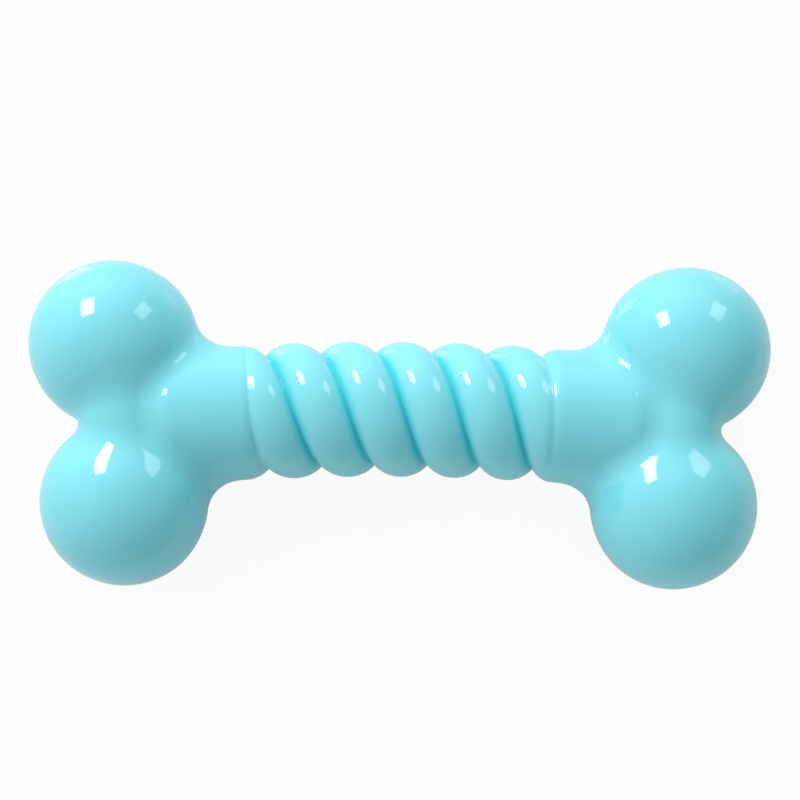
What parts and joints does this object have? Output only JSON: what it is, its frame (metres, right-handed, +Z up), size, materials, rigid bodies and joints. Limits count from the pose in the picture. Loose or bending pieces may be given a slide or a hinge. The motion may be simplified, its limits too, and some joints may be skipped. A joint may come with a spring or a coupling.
{
  "type": "dog chew bone",
  "caption": "Glossy rubber dog chew bone: round-lobed knuckles moulded over the ends of a gently bowed, rope-twisted grip on a hidden core.",
  "frame": {"origin": "on the floor, midway between the four lobes that the bone lies on", "axes": "+X along the bone, +Y across the lobes towards the outside of the bow, +Z up through the bone's thickness"},
  "size_m": [0.1604, 0.0696, 0.0357],
  "materials": {
    "knuckle_rubber": "gloss",
    "strand_rubber": "gloss",
    "core_nylon": "satin"
  },
  "bodies": {
    "root": {"left_knuckle": "knuckle_rubber", "right_knuckle": "knuckle_rubber", "twist_strand_a": "strand_rubber", "twist_strand_b": "strand_rubber", "core_rod": "core_nylon"}
  },
  "joints": []
}
